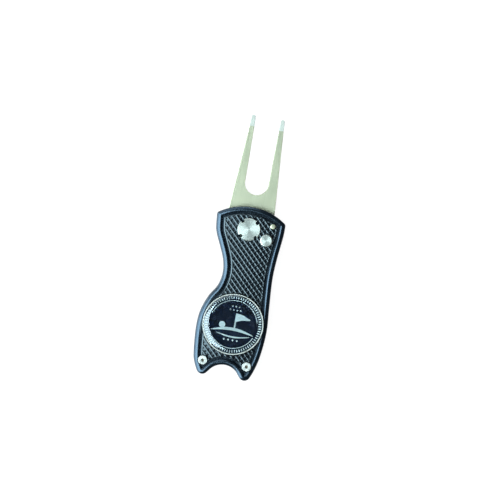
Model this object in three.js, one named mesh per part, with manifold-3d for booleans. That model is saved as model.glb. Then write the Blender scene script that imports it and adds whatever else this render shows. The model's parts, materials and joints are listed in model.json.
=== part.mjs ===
// Folding divot repair tool: a two-pronged steel fork on a sprung pivot between two moulded covers,
// a push button that frees it, and a magnetic ball marker on the front.
//
// Units are millimetres and +Z is up. The tool lies on its back cover with the fork open along +Y.
// Every piece is drawn with the pivot axis at x = 0, y = 0 and the back of the handle at z = 0.
// The exported group then moves the whole so that its origin is the bottom centre of its box.

import * as THREE from "three";
import { mergeVertices } from "three/addons/utils/BufferGeometryUtils.js";
import Module from "manifold-3d";

const wasm = await Module();
wasm.setup();

// ---------------------------------------------------------------- driving dimensions

const COVER_THICKNESS = 4.0;
const FORK_THICKNESS = 2.0;
const WASHER_THICKNESS = 0.2;

const BACK_INNER = COVER_THICKNESS;
const FORK_BACK = BACK_INNER + WASHER_THICKNESS;
const FORK_FRONT = FORK_BACK + FORK_THICKNESS;
const FRONT_INNER = FORK_FRONT + WASHER_THICKNESS;
const FRONT_OUTER = FRONT_INNER + COVER_THICKNESS;

const CLEARANCE = 0.15; // radial play of a piece that drops into a hole
const ROUND = 24; // sides of a round hole or pin
const SMALL_ROUND = 16;
const WIDE_ROUND = 48;

// The handle's outline: a crowned top, a finger hollow on the left side, a waisted right side and a
// round notch between two horns at the bottom.
const TOP_ARC = { x: 0.2, y: -14.8, r: 24, right: 53.4, left: 125.6 };
const NOTCH = { x: 0.1, y: -63.2, r: 7.2, flank: 52, flankLength: 5.6 };
const LEFT_SIDE = [
  [-13.2, -1],
  [-12.35, -4],
  [-10.95, -7],
  [-8.15, -13.5],
  [-7.2, -19],
  [-8.25, -24.5],
  [-11.25, -29.5],
  [-13.5, -36],
  [-14.05, -43],
  [-13.2, -53],
  [-12, -57.5],
];
const RIGHT_SIDE = [
  [12, -57],
  [13.75, -50],
  [14.6, -40],
  [13.9, -30],
  [13.15, -18.5],
  [13.5, -10],
  [14.45, -0.5],
];
const CORNER_RADII = { topLeft: 1.2, leftHorn: 2.4, rightHorn: 2.4, topRight: 1.5 };

// The front is crowned across its width. Each cover has a rounded rim, and slopes down inside it to
// the pocket that holds a grip panel. Insets are measured inwards from the outline.
const CROWN = { x: 0.3, radius: 75 };
const RIM = { shoulderDrop: 1.2, bendInset: 0.35, bendDrop: 0.4, crestStart: 1.1, crestEnd: 1.45 };
const POCKET_INSET = 2.1;
const GROOVE_DEPTH = 0.7;
const PANEL_INSET = 3.0;
const PANEL_BELOW_RIM = 0.2;
const FRONT_POCKET_DEPTH = 1.8;
const BACK_POCKET_DEPTH = 1.0;

const FRONT_POCKET_FLOOR = FRONT_OUTER - FRONT_POCKET_DEPTH;
const BACK_POCKET_FLOOR = BACK_POCKET_DEPTH;

// The fork: a tang disc around the pivot, two shoulders, and two prongs with ground tips.
const TANG_RADIUS = 6.2;
const FORK = {
  rightShoulder: 4.15,
  leftShoulder: 5.9,
  rootHalfWidth: 9.95,
  taper: 0.0695,
  gapHalfWidth: 4.8,
  gapBottom: 14.3,
  gapSpread: 0.3,
  grindStart: 41.8,
  tip: 46.4,
  tipCentre: 6.02,
  tipRadius: 0.82,
  tipThickness: 0.7,
};
const CLOSED_ANGLE = 186; // degrees that the fork turns from open to folded

const AXLE_RADIUS = 2.0;
const PIVOT_CAP = { radius: 4.65, top: 10.8, notchWidth: 1.1, notchDepth: 0.9, turn: 46 };
const PIVOT_NUT = { radius: 3.8, top: 1.2, bottom: 0.15 };

const STOP_PIN = { x: 9.5, y: 2.8, r: 1.05, bottom: 1.2, top: 10.3 };

const BUTTON = { x: 7.7, y: -3.3, capRadius: 2.5, top: 10.9, stemRadius: 1.3, travel: 1.1 };
const BUTTON_FLANGE = { radius: 3.1, bottom: 7.55, top: 8.1 };

const LATCH = { thickness: 0.4, top: 3.8, toothTop: 5.0, toothInner: 4.4, toothOuter: 6.1 };
const LATCH_ARM = { x: 7.7, halfWidth: 1.5, end: -15 };
const LATCH_HEAD = { left: 3.9, right: 9.3, bottom: -5, top: -0.9 };
const LATCH_HALF_TOOTH = 0.8;
const RIVET = { x: 7.7, y: -13.2, r: 0.7, headRadius: 1.2, bottom: 2.2, top: 3.98 };

const SPRING = { bore: 3.9, coil: 3.1, wire: 0.28, pitch: 0.6, turns: 2.5, start: 6.75, phase: 60 };

const MARKER = { x: 0.45, y: -39.15, r: 12.4, seat: 9, floor: 10.6, rim: 11, lip: 0.55, top: 11.6 };
const MAGNET = { r: 5.0, bottom: 7.1 };

const SCREWS = { left: [-9.15, -55.6], right: [8.9, -55.25] };
const SCREW = { headRadius: 1.9, seat: 8.2, headTop: 10.0, shankRadius: 1.0, bottom: 1.6, hex: 0.7 };
const INSERT = { radius: 1.7, bottom: 1.4 };

// ---------------------------------------------------------------- small helpers

const radians = THREE.MathUtils.degToRad;

// The latch's tooth lies between the pivot and the button.
const LATCH_ANGLE = THREE.MathUtils.radToDeg(Math.atan2(BUTTON.y, BUTTON.x));

const polar = (radius, angle) =>
  new THREE.Vector2(radius * Math.cos(angle), radius * Math.sin(angle));

// The solid that a closed geometry bounds.
function solidOf(geometry) {
  const bare = geometry.clone();
  bare.deleteAttribute("normal");
  bare.deleteAttribute("uv");
  const merged = mergeVertices(bare, 1e-4);
  return new wasm.Manifold(
    new wasm.Mesh({
      numProp: 3,
      vertProperties: merged.attributes.position.array,
      triVerts: new Uint32Array(merged.index.array),
    }),
  );
}

function geometryOf(solid) {
  const mesh = solid.getMesh();
  const geometry = new THREE.BufferGeometry();
  geometry.setAttribute("position", new THREE.BufferAttribute(mesh.vertProperties, mesh.numProp));
  geometry.setIndex(new THREE.BufferAttribute(mesh.triVerts, 1));
  geometry.computeVertexNormals();
  return geometry;
}

// A flat shape raised from one height to another.
function prism(shape, bottom, top) {
  const geometry = new THREE.ExtrudeGeometry(shape, { depth: top - bottom, bevelEnabled: false });
  return solidOf(geometry.translate(0, 0, bottom));
}

function cylinder(x, y, radius, bottom, top, sides = ROUND) {
  const geometry = new THREE.CylinderGeometry(radius, radius, top - bottom, sides);
  geometry.rotateX(Math.PI / 2).translate(x, y, (bottom + top) / 2);
  return solidOf(geometry);
}

// A round piece from its half section, a list of [radius, height] from the top down that starts and
// ends on the axis.
function turned(x, y, profile, sides = ROUND) {
  const points = profile.map(([radius, height]) => new THREE.Vector2(radius, height)).reverse();
  const geometry = new THREE.LatheGeometry(points, sides);
  return solidOf(geometry.rotateX(Math.PI / 2).translate(x, y, 0));
}

// A box that runs outwards from the pivot between two radii, at an angle in degrees.
function radialBox(inner, outer, halfWidth, angle, bottom, top) {
  const geometry = new THREE.BoxGeometry(outer - inner, 2 * halfWidth, top - bottom);
  geometry.translate((inner + outer) / 2, 0, (bottom + top) / 2).rotateZ(radians(angle));
  return solidOf(geometry);
}

function box(x0, x1, y0, y1, z0, z1) {
  const geometry = new THREE.BoxGeometry(x1 - x0, y1 - y0, z1 - z0);
  return solidOf(geometry.translate((x0 + x1) / 2, (y0 + y1) / 2, (z0 + z1) / 2));
}

const cut = (solid, ...tools) => tools.reduce((made, tool) => made.subtract(tool), solid);

// ---------------------------------------------------------------- the handle's outline

const EDGE_SAMPLES = 160;
const EDGE_STEPS = [8, 17, 9, 12]; // sides along the top, left, foot and right
const CORNER_STEPS = 4;
const LEAST_CORNER_RADIUS = 0.3;

// The four edges, anticlockwise from the top right corner. Each runs to the sharp corner where it
// would meet the next, and corners are rounded afterwards.
function handleEdges() {
  const top = new THREE.EllipseCurve(
    TOP_ARC.x,
    TOP_ARC.y,
    TOP_ARC.r,
    TOP_ARC.r,
    radians(TOP_ARC.right),
    radians(TOP_ARC.left),
  );
  const flank = radians(NOTCH.flank);
  const arc = new THREE.EllipseCurve(
    NOTCH.x,
    NOTCH.y,
    NOTCH.r,
    NOTCH.r,
    Math.PI / 2 + flank,
    Math.PI / 2 - flank,
    true,
  );
  const reach = new THREE.Vector2(Math.cos(flank), -Math.sin(flank)).multiplyScalar(NOTCH.flankLength);
  const leftHorn = arc.getPoint(0).add(new THREE.Vector2(-reach.x, reach.y));
  const rightHorn = arc.getPoint(1).add(reach);
  const notch = new THREE.CurvePath();
  notch.add(new THREE.LineCurve(leftHorn, arc.getPoint(0)));
  notch.add(arc);
  notch.add(new THREE.LineCurve(arc.getPoint(1), rightHorn));
  const through = (points) => points.map(([x, y]) => new THREE.Vector2(x, y));
  const left = new THREE.SplineCurve([top.getPoint(1), ...through(LEFT_SIDE), leftHorn]);
  const right = new THREE.SplineCurve([rightHorn, ...through(RIGHT_SIDE), top.getPoint(0)]);
  return [top, left, notch, right].map((curve) => {
    const points = curve.getSpacedPoints(EDGE_SAMPLES);
    return points.map((point, i) => {
      const before = points[Math.max(i - 1, 0)];
      const after = points[Math.min(i + 1, EDGE_SAMPLES)];
      const along = after.clone().sub(before).normalize();
      return { point, inward: new THREE.Vector2(-along.y, along.x) };
    });
  });
}

const EDGES = handleEdges();
const CORNERS = [
  CORNER_RADII.topLeft,
  CORNER_RADII.leftHorn,
  CORNER_RADII.rightHorn,
  CORNER_RADII.topRight,
];

const insetEdge = (edge, inset) =>
  edge.map(({ point, inward }) => point.clone().addScaledVector(inward, inset));

// Where two polylines cross: how far along each, counted in samples, and the point.
function crossing(first, second) {
  for (let i = first.length - 2; i >= 0; i--) {
    const start = first[i];
    const along = first[i + 1].clone().sub(start);
    for (let j = 0; j < second.length - 1; j++) {
      const other = second[j + 1].clone().sub(second[j]);
      const gap = second[j].clone().sub(start);
      const area = along.cross(other);
      const s = gap.cross(other) / area;
      const t = gap.cross(along) / area;
      if (s >= 0 && s <= 1 && t >= 0 && t <= 1)
        return { onFirst: i + s, onSecond: j + t, point: start.clone().addScaledVector(along, s) };
    }
  }
  throw new Error("two edges of the handle don't meet");
}

// A point part of the way along a polyline, its place counted in samples.
function along(points, place) {
  const i = Math.min(Math.floor(place), points.length - 2);
  return points[i].clone().lerp(points[i + 1], place - i);
}

// The handle's outline moved inwards, with each corner rounded. The radius of a corner shrinks with
// the inset, down to a small one.
function outline(inset) {
  const offset = EDGES.map((edge) => insetEdge(edge, inset));
  const fillets = EDGES.map((edge, i) => {
    const next = EDGES[(i + 1) % EDGES.length];
    const radius = Math.max(CORNERS[i] - inset, LEAST_CORNER_RADIUS);
    const met = crossing(insetEdge(edge, inset + radius), insetEdge(next, inset + radius));
    return { ...met, radius };
  });
  const points = [];
  EDGES.forEach((edge, i) => {
    const before = fillets[(i + EDGES.length - 1) % EDGES.length];
    const after = fillets[i];
    const from = before.onSecond;
    const to = after.onFirst;
    for (let k = 0; k <= EDGE_STEPS[i]; k++)
      points.push(along(offset[i], from + ((to - from) * k) / EDGE_STEPS[i]));
    const start = points[points.length - 1].clone().sub(after.point).angle();
    const end = along(offset[(i + 1) % EDGES.length], after.onSecond).sub(after.point).angle();
    const turn = (end - start + 2 * Math.PI) % (2 * Math.PI);
    for (let k = 1; k < CORNER_STEPS; k++)
      points.push(after.point.clone().add(polar(after.radius, start + (turn * k) / CORNER_STEPS)));
  });
  return new THREE.Shape(points);
}

// ---------------------------------------------------------------- the two covers and the spacer

const crownDrop = (x) => CROWN.radius - Math.sqrt(CROWN.radius ** 2 - (x - CROWN.x) ** 2);

// A tray whose walls follow the outline. Each level is [inset, height, share of the crown's drop],
// from the face that lies against the spacer, up the side, over the rim and down to the pocket's
// floor. A mirrored tray is the back cover's.
function tray(levels) {
  const rings = levels.map(([inset, height, crowned]) =>
    outline(inset)
      .getPoints()
      .map(({ x, y }) => new THREE.Vector3(x, y, height - crowned * crownDrop(x))),
  );
  const count = rings[0].length;
  const index = [];
  for (let level = 0; level < rings.length - 1; level++) {
    for (let i = 0; i < count; i++) {
      const low = level * count;
      const next = (i + 1) % count;
      index.push(low + i, low + next, low + count + i);
      index.push(low + next, low + count + next, low + count + i);
    }
  }
  const flat = (ring) => ring.map(({ x, y }) => new THREE.Vector2(x, y));
  const bottom = THREE.ShapeUtils.triangulateShape(flat(rings[0]), []);
  const floor = THREE.ShapeUtils.triangulateShape(flat(rings[rings.length - 1]), []);
  const last = (rings.length - 1) * count;
  bottom.forEach(([a, b, c]) => index.push(a, c, b));
  floor.forEach(([a, b, c]) => index.push(last + a, last + b, last + c));
  const geometry = new THREE.BufferGeometry().setFromPoints(rings.flat());
  geometry.setIndex(index);
  return solidOf(geometry);
}

// The section of a cover from its inner face at height 0 to its outer face, as levels for tray().
function coverSection(thickness, pocketDepth, crown) {
  return [
    [0, 0, 0],
    [0, thickness - RIM.shoulderDrop, 0.8 * crown],
    [RIM.bendInset, thickness - RIM.bendDrop, crown],
    [RIM.crestStart, thickness, crown],
    [RIM.crestEnd, thickness, crown],
    [POCKET_INSET, thickness - GROOVE_DEPTH, crown],
    [POCKET_INSET, thickness - pocketDepth, 0],
  ];
}

const FAR = 100;
const screwSpots = Object.values(SCREWS);

const markerSeat = () =>
  cylinder(MARKER.x, MARKER.y, MARKER.r + 2 * CLEARANCE, MARKER.seat, FRONT_OUTER + 1, WIDE_ROUND);

function frontCover() {
  const top = FRONT_OUTER + 1;
  const bottom = FRONT_INNER - 1;
  const flangeSeat = BUTTON_FLANGE.top + 0.1;
  const springSlot = 7.9;
  return cut(
    tray(coverSection(COVER_THICKNESS, FRONT_POCKET_DEPTH, 1)).translate([0, 0, FRONT_INNER]),
    cylinder(0, 0, SPRING.bore, bottom, top),
    radialBox(SPRING.coil, SPRING.bore + 1, 0.5, springEndAngle(), springSlot, top),
    cylinder(BUTTON.x, BUTTON.y, BUTTON.capRadius + CLEARANCE, bottom, top),
    cylinder(BUTTON.x, BUTTON.y, BUTTON_FLANGE.radius + CLEARANCE, bottom, flangeSeat),
    cylinder(STOP_PIN.x, STOP_PIN.y, STOP_PIN.r + CLEARANCE, bottom, top, SMALL_ROUND),
    markerSeat(),
    cylinder(MARKER.x, MARKER.y, MAGNET.r + CLEARANCE, MAGNET.bottom, top),
    ...screwSpots.flatMap(([x, y]) => [
      cylinder(x, y, SCREW.headRadius + 2 * CLEARANCE, SCREW.seat, top),
      cylinder(x, y, SCREW.shankRadius + CLEARANCE, bottom, top, SMALL_ROUND),
    ]),
  );
}

function backCover() {
  const under = -1;
  const top = BACK_INNER + 1;
  const latchPad = LATCH.top - LATCH.thickness;
  const latchDepth = 2.2;
  const armEdge = LATCH_ARM.halfWidth + 0.3;
  const padEnd = -10.5;
  const headLeft = LATCH_HEAD.left - 0.3;
  const upright = tray(coverSection(COVER_THICKNESS, BACK_POCKET_DEPTH, 0));
  return cut(
    upright.mirror([0, 0, 1]).translate([0, 0, BACK_INNER]),
    cylinder(0, 0, AXLE_RADIUS + 0.1, under, top),
    cylinder(0, 0, PIVOT_NUT.radius + CLEARANCE, under, PIVOT_NUT.top),
    cylinder(STOP_PIN.x, STOP_PIN.y, STOP_PIN.r + CLEARANCE, STOP_PIN.bottom, top, SMALL_ROUND),
    box(LATCH_ARM.x - armEdge, LATCH_ARM.x + armEdge, padEnd, BUTTON.y - 1, latchDepth, top),
    box(LATCH_ARM.x - armEdge, LATCH_ARM.x + armEdge, LATCH_ARM.end - 0.3, padEnd, latchPad, top),
    box(headLeft, LATCH_HEAD.right + 0.3, BUTTON.y - 2, LATCH_HEAD.top + 0.3, latchDepth, top),
    cylinder(RIVET.x, RIVET.y, RIVET.r + 0.1, RIVET.bottom, top, SMALL_ROUND),
    ...screwSpots.map(([x, y]) => cylinder(x, y, INSERT.radius + 0.1, INSERT.bottom, top)),
  );
}

// The layer between the covers: it closes the right side and the foot, and leaves the left side open
// for the fork to fold in.
function spineSpacer() {
  const sweep = FORK.tip + 0.9;
  const foot = radians(-75.6);
  const leftEnd = radians(-107);
  const inner = polar(sweep, foot);
  const space = new THREE.Shape();
  space.moveTo(-20, 20);
  space.lineTo(10.25, 20);
  space.lineTo(10.25, 3.3);
  space.lineTo(8.0, 3.3);
  space.lineTo(8.0, 1.0);
  space.lineTo(9.7, -0.9);
  space.lineTo(9.7, -3.4);
  space.lineTo(10.6, -4.4);
  space.lineTo(10.9, -6.2);
  space.lineTo(inner.x, -42);
  space.lineTo(inner.x, inner.y);
  space.absarc(0, 0, sweep, foot, leftEnd, true);
  space.lineTo(-20, polar(sweep, leftEnd).y);
  const SIDE_INSET = 0.2;
  const bottom = BACK_INNER;
  const top = FRONT_INNER;
  return cut(
    prism(outline(SIDE_INSET), bottom, top),
    prism(space, bottom - 1, top + 1),
    cylinder(STOP_PIN.x, STOP_PIN.y, STOP_PIN.r + CLEARANCE, bottom - 1, top + 1, SMALL_ROUND),
    ...screwSpots.map(([x, y]) =>
      cylinder(x, y, SCREW.shankRadius + CLEARANCE, bottom - 1, top + 1, SMALL_ROUND),
    ),
  );
}

// Everything below a crowned surface that peaks at the given height.
function crownedBlock(peak) {
  const reach = 18;
  const centre = peak - CROWN.radius;
  const side = Math.acos(reach / CROWN.radius);
  const section = new THREE.Shape();
  section.moveTo(CROWN.x + reach, 0);
  section.absarc(CROWN.x, centre, CROWN.radius, side, Math.PI - side);
  section.lineTo(CROWN.x - reach, 0);
  const length = 150;
  const geometry = new THREE.ExtrudeGeometry(section, {
    depth: length,
    curveSegments: 14,
    bevelEnabled: false,
  });
  return solidOf(geometry.rotateX(Math.PI / 2).translate(0, length / 2, 0));
}

// The front panel ends at the two screws, and passes under the ball marker as a thin web.
function frontGripPanel() {
  const top = FRONT_OUTER - PANEL_BELOW_RIM;
  const under = FRONT_POCKET_FLOOR - 1;
  const over = top + 1;
  return cut(
    prism(outline(PANEL_INSET), FRONT_POCKET_FLOOR, top).intersect(crownedBlock(top)),
    box(-FAR, FAR, -FAR, SCREWS.left[1], under, over),
    cylinder(0, 0, PIVOT_CAP.radius + CLEARANCE, under, over),
    cylinder(BUTTON.x, BUTTON.y, BUTTON.capRadius + CLEARANCE, under, over),
    cylinder(STOP_PIN.x, STOP_PIN.y, STOP_PIN.r + CLEARANCE, under, over, SMALL_ROUND),
    markerSeat(),
    cylinder(MARKER.x, MARKER.y, MAGNET.r + CLEARANCE, under, over),
    ...screwSpots.map(([x, y]) => cylinder(x, y, SCREW.headRadius + 2 * CLEARANCE, under, over)),
  );
}

function backGripPanel() {
  return cut(
    prism(outline(PANEL_INSET), PANEL_BELOW_RIM, BACK_POCKET_FLOOR),
    cylinder(0, 0, PIVOT_NUT.radius + CLEARANCE, -1, BACK_POCKET_FLOOR + 1),
  );
}

// ---------------------------------------------------------------- the fork

// Seen from the front. The disc of the tang turns past the stop pin and the button's stem, and each
// shoulder stands just above the place where one of them ends up.
function forkShape() {
  const edge = (y) => FORK.rootHalfWidth - FORK.taper * y;
  const discAt = (y) => Math.sqrt(TANG_RADIUS ** 2 - y ** 2);
  const gapArc = FORK.gapBottom + FORK.gapHalfWidth;
  const gapTop = FORK.gapHalfWidth + FORK.gapSpread;
  const tipArc = FORK.tip - FORK.tipRadius;
  const shape = new THREE.Shape();
  shape.moveTo(discAt(FORK.rightShoulder), FORK.rightShoulder);
  shape.lineTo(edge(FORK.rightShoulder), FORK.rightShoulder);
  shape.lineTo(edge(FORK.grindStart), FORK.grindStart);
  shape.absarc(FORK.tipCentre, tipArc, FORK.tipRadius, 0, Math.PI);
  shape.lineTo(gapTop, FORK.grindStart);
  shape.lineTo(FORK.gapHalfWidth, gapArc);
  shape.absarc(0, gapArc, FORK.gapHalfWidth, 0, Math.PI, true);
  shape.lineTo(-gapTop, FORK.grindStart);
  shape.absarc(-FORK.tipCentre, tipArc, FORK.tipRadius, 0, Math.PI);
  shape.lineTo(-edge(FORK.grindStart), FORK.grindStart);
  shape.lineTo(-edge(FORK.leftShoulder), FORK.leftShoulder);
  shape.lineTo(-6.1, FORK.leftShoulder);
  const neck = polar(TANG_RADIUS, radians(140));
  shape.lineTo(neck.x, neck.y);
  shape.absarc(0, 0, TANG_RADIUS, radians(140), radians(360) + Math.asin(FORK.rightShoulder / TANG_RADIUS));
  return shape;
}

// The prism that grinding takes off one face of both tips, as a section in Y and Z.
function grinding(face, outward) {
  const slope = (FORK_THICKNESS - FORK.tipThickness) / 2;
  const section = new THREE.Shape();
  section.moveTo(FORK.grindStart, face);
  section.lineTo(FORK.tip + 0.5, face - outward * slope);
  section.lineTo(FORK.tip + 0.5, face + outward);
  section.lineTo(FORK.grindStart, face + outward);
  const geometry = new THREE.ExtrudeGeometry(section, { depth: 40, bevelEnabled: false });
  // the section's first axis becomes Y, its second Z, and it is raised along X
  geometry.applyMatrix4(
    new THREE.Matrix4().makeBasis(
      new THREE.Vector3(0, 1, 0),
      new THREE.Vector3(0, 0, 1),
      new THREE.Vector3(1, 0, 0),
    ),
  );
  return solidOf(geometry.translate(-20, 0, 0));
}

function fork() {
  const bottom = FORK_BACK - 1;
  const top = FORK_FRONT + 1;
  const notch = (angle) =>
    radialBox(LATCH.toothInner - 0.2, TANG_RADIUS + 2, LATCH_HALF_TOOTH + 0.2, angle, bottom, top);
  const spring = polar(SPRING.coil, radians(SPRING.phase));
  return cut(
    prism(forkShape(), FORK_BACK, FORK_FRONT),
    cylinder(0, 0, AXLE_RADIUS + 0.1, bottom, top),
    cylinder(spring.x, spring.y, 0.6, bottom, top, SMALL_ROUND),
    notch(LATCH_ANGLE),
    notch(LATCH_ANGLE - CLOSED_ANGLE),
    grinding(FORK_FRONT, 1),
    grinding(FORK_BACK, -1),
  );
}

// ---------------------------------------------------------------- the pivot

const pivotAxle = () => cylinder(0, 0, AXLE_RADIUS, PIVOT_NUT.top, FRONT_POCKET_FLOOR);

function pivotCap() {
  const { radius, top, notchWidth, notchDepth, turn } = PIVOT_CAP;
  const bevel = 0.2;
  const disc = turned(
    0,
    0,
    [
      [0, top],
      [radius - bevel, top],
      [radius, top - bevel],
      [radius, FRONT_POCKET_FLOOR],
      [0, FRONT_POCKET_FLOOR],
    ],
    WIDE_ROUND,
  );
  const notches = [0, 90, 180, 270].map((quarter) =>
    radialBox(radius - notchDepth, radius + 1, notchWidth / 2, turn + quarter, 0, top + 1),
  );
  return cut(disc, ...notches);
}

function pivotNut() {
  const slotDepth = 0.5;
  const slot = box(-FAR, FAR, -0.5, 0.5, PIVOT_NUT.bottom - 1, PIVOT_NUT.bottom + slotDepth);
  return cut(cylinder(0, 0, PIVOT_NUT.radius, PIVOT_NUT.bottom, PIVOT_NUT.top), slot);
}

function ring(inner, outer, bottom, top) {
  return cut(cylinder(0, 0, outer, bottom, top), cylinder(0, 0, inner, bottom - 1, top + 1));
}

const springEndAngle = () => SPRING.phase + 360 * SPRING.turns;

// A coil around the axle. One end turns down into the tang and the other turns out into the cover.
function torsionSpring() {
  const STEPS_PER_TURN = 16;
  const steps = SPRING.turns * STEPS_PER_TURN;
  const coilPoint = (share) => {
    const at = polar(SPRING.coil, radians(SPRING.phase + 360 * SPRING.turns * share));
    return new THREE.Vector3(at.x, at.y, SPRING.start + SPRING.pitch * SPRING.turns * share);
  };
  const foot = polar(SPRING.coil, radians(SPRING.phase));
  const points = [new THREE.Vector3(foot.x, foot.y, 5.1), new THREE.Vector3(foot.x, foot.y, 6.15)];
  for (let i = 1; i < steps; i++) points.push(coilPoint(i / steps));
  const end = coilPoint(1);
  const outward = new THREE.Vector3(end.x, end.y, 0).normalize();
  points.push(end.addScaledVector(outward, 0.35));
  points.push(end.clone().addScaledVector(outward, 0.9));
  const path = new THREE.CatmullRomCurve3(points, false, "centripetal");
  const wire = new THREE.Shape().absarc(0, 0, SPRING.wire, 0, 2 * Math.PI);
  const geometry = new THREE.ExtrudeGeometry(wire, {
    steps: steps + 8,
    curveSegments: 3,
    extrudePath: path,
    bevelEnabled: false,
  });
  return solidOf(geometry);
}

const stopPin = () =>
  cylinder(STOP_PIN.x, STOP_PIN.y, STOP_PIN.r, STOP_PIN.bottom, STOP_PIN.top, SMALL_ROUND);

// ---------------------------------------------------------------- the button and the latch

function releaseButton() {
  const bevel = 0.3;
  const stemEnd = LATCH.top + 0.05;
  return turned(BUTTON.x, BUTTON.y, [
    [0, BUTTON.top],
    [BUTTON.capRadius - bevel, BUTTON.top],
    [BUTTON.capRadius, BUTTON.top - bevel],
    [BUTTON.capRadius, BUTTON_FLANGE.top],
    [BUTTON_FLANGE.radius, BUTTON_FLANGE.top],
    [BUTTON_FLANGE.radius, BUTTON_FLANGE.bottom],
    [BUTTON.stemRadius, BUTTON_FLANGE.bottom],
    [BUTTON.stemRadius, stemEnd],
    [0, stemEnd],
  ]);
}

// A leaf spring in the back cover. Its tooth stands in a notch of the tang, and the button's stem
// pushes the head down to free the fork.
function latchSpring() {
  const bottom = LATCH.top - LATCH.thickness;
  const { x, halfWidth, end } = LATCH_ARM;
  const arm = box(x - halfWidth, x + halfWidth, end, BUTTON.y, bottom, LATCH.top);
  const { left, right, bottom: low, top: high } = LATCH_HEAD;
  const head = box(left, right, low, high, bottom, LATCH.top);
  const tooth = radialBox(
    LATCH.toothInner,
    LATCH.toothOuter,
    LATCH_HALF_TOOTH,
    LATCH_ANGLE,
    bottom,
    LATCH.toothTop,
  );
  return cut(
    arm.add(head).add(tooth),
    cylinder(RIVET.x, RIVET.y, RIVET.r + 0.1, bottom - 1, LATCH.top + 1, SMALL_ROUND),
  );
}

function latchRivet() {
  return turned(
    RIVET.x,
    RIVET.y,
    [
      [0, RIVET.top],
      [RIVET.headRadius, RIVET.top],
      [RIVET.headRadius, LATCH.top],
      [RIVET.r, LATCH.top],
      [RIVET.r, RIVET.bottom],
      [0, RIVET.bottom],
    ],
    SMALL_ROUND,
  );
}

// ---------------------------------------------------------------- the ball marker and its magnet

const magnet = () => cylinder(MARKER.x, MARKER.y, MAGNET.r, MAGNET.bottom, MARKER.seat);

function markerCoin() {
  const lip = MARKER.r - MARKER.lip;
  return turned(
    MARKER.x,
    MARKER.y,
    [
      [0, MARKER.floor],
      [lip, MARKER.floor],
      [lip, MARKER.rim],
      [MARKER.r - 0.15, MARKER.rim],
      [MARKER.r, MARKER.rim - 0.15],
      [MARKER.r, MARKER.seat],
      [0, MARKER.seat],
    ],
    WIDE_ROUND,
  );
}

const FACE_RADIUS = MARKER.r - MARKER.lip - 0.1;
const FACE_TOP = MARKER.floor + 0.1;

const markerFace = () =>
  cylinder(MARKER.x, MARKER.y, FACE_RADIUS, MARKER.floor, FACE_TOP, WIDE_ROUND);

// A shallow dome of clear resin over the printed face. It is flattest in the middle.
function markerDome() {
  const edge = FACE_TOP + 0.2;
  const rise = MARKER.top - edge;
  const power = 4;
  const steps = 8;
  const profile = [];
  for (let i = 0; i <= steps; i++) {
    const share = Math.sqrt(i / steps);
    profile.push([FACE_RADIUS * share, edge + rise * (1 - share ** power)]);
  }
  profile.push([FACE_RADIUS, FACE_TOP], [0, FACE_TOP]);
  return turned(MARKER.x, MARKER.y, profile, WIDE_ROUND);
}

// ---------------------------------------------------------------- the screws

function screw([x, y]) {
  const dome = 0.25;
  const body = turned(
    x,
    y,
    [
      [0, SCREW.headTop],
      [SCREW.headRadius - dome, SCREW.headTop],
      [SCREW.headRadius, SCREW.headTop - dome],
      [SCREW.headRadius, SCREW.seat],
      [SCREW.shankRadius, SCREW.seat],
      [SCREW.shankRadius, SCREW.bottom],
      [0, SCREW.bottom],
    ],
    24,
  );
  const socketDepth = 0.9;
  const HEXAGON = 6;
  const socketFloor = SCREW.headTop - socketDepth;
  return cut(body, cylinder(x, y, SCREW.hex, socketFloor, SCREW.headTop + 1, HEXAGON));
}

function threadedInsert([x, y]) {
  return cut(
    cylinder(x, y, INSERT.radius, INSERT.bottom, BACK_INNER, SMALL_ROUND),
    cylinder(x, y, SCREW.shankRadius + 0.1, INSERT.bottom - 1, BACK_INNER + 1, SMALL_ROUND),
  );
}

// ---------------------------------------------------------------- materials and the assembly

const finish = (color, roughness, metalness) =>
  new THREE.MeshStandardMaterial({ color, roughness, metalness });

const BLACK_SATIN = finish(0x15181c, 0.35, 0.1);
const BLACK_GRIP = finish(0x0f1114, 0.3, 0.1);
const SATIN_STEEL = finish(0xc6d2bb, 0.35, 1.0);
const TURNED_METAL = finish(0xd9dbd5, 0.25, 1.0);
const SPRING_STEEL = finish(0x8c8f92, 0.3, 1.0);
const NICKEL = finish(0xc9cdd0, 0.2, 1.0);
const NAVY_PRINT = finish(0x131c2c, 0.4, 0.0);
const CLEAR_RESIN = finish(0xf4f8fa, 0.05, 0.0);
const BRASS = finish(0xb08d4f, 0.35, 1.0);

const tool = new THREE.Group();

function place(name, solid, material) {
  const mesh = new THREE.Mesh(geometryOf(solid), material);
  mesh.name = name;
  tool.add(mesh);
}

place("back_cover", backCover(), BLACK_SATIN);
place("front_cover", frontCover(), BLACK_SATIN);
place("spine_spacer", spineSpacer(), BLACK_SATIN);
place("front_grip_panel", frontGripPanel(), BLACK_GRIP);
place("back_grip_panel", backGripPanel(), BLACK_GRIP);
place("fork_blade", fork(), SATIN_STEEL);
place("pivot_axle", pivotAxle(), NICKEL);
place("pivot_cap", pivotCap(), TURNED_METAL);
place("pivot_nut", pivotNut(), TURNED_METAL);
place("back_washer", ring(AXLE_RADIUS + 0.1, 3.9, BACK_INNER, FORK_BACK), BRASS);
place("front_washer", ring(SPRING.bore + 0.05, 5.3, FORK_FRONT, FRONT_INNER), BRASS);
place("torsion_spring", torsionSpring(), SPRING_STEEL);
place("stop_pin", stopPin(), SATIN_STEEL);
place("release_button", releaseButton(), TURNED_METAL);
place("latch_spring", latchSpring(), SPRING_STEEL);
place("latch_rivet", latchRivet(), BRASS);
place("magnet", magnet(), NICKEL);
place("marker_coin", markerCoin(), NICKEL);
place("marker_face", markerFace(), NAVY_PRINT);
place("marker_dome", markerDome(), CLEAR_RESIN);
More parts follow.
